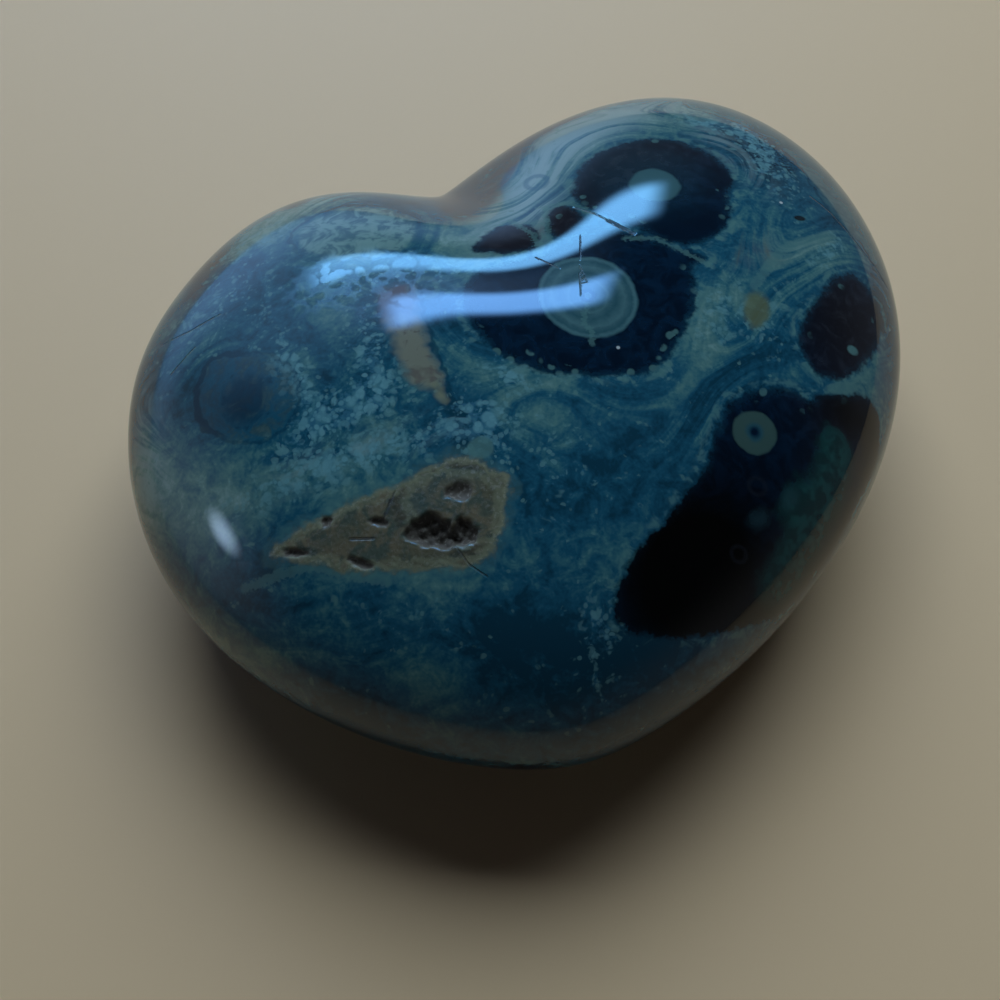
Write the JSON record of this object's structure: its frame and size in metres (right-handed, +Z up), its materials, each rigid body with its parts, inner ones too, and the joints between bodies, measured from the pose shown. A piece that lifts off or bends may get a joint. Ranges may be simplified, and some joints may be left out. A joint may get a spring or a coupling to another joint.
{
  "type": "jasper heart",
  "caption": "Puffy heart of orbicular jasper, domed on both sides and polished, with a groove between its lobes and an open pit in a sandy pocket.",
  "frame": {"origin": "centre of the heart's bounding box, at the height of the worn flat that it rests on", "axes": "+X from the left lobe to the right lobe, +Y from the tip towards the notch, +Z up through the dome"},
  "size_m": [0.0694, 0.0618, 0.0254],
  "materials": {
    "orbicular_jasper": "high polish, with dark orbs, pale teal bands and speckles, and a sandy brown pocket"
  },
  "bodies": {
    "root": {"heart": "orbicular_jasper"}
  },
  "joints": []
}
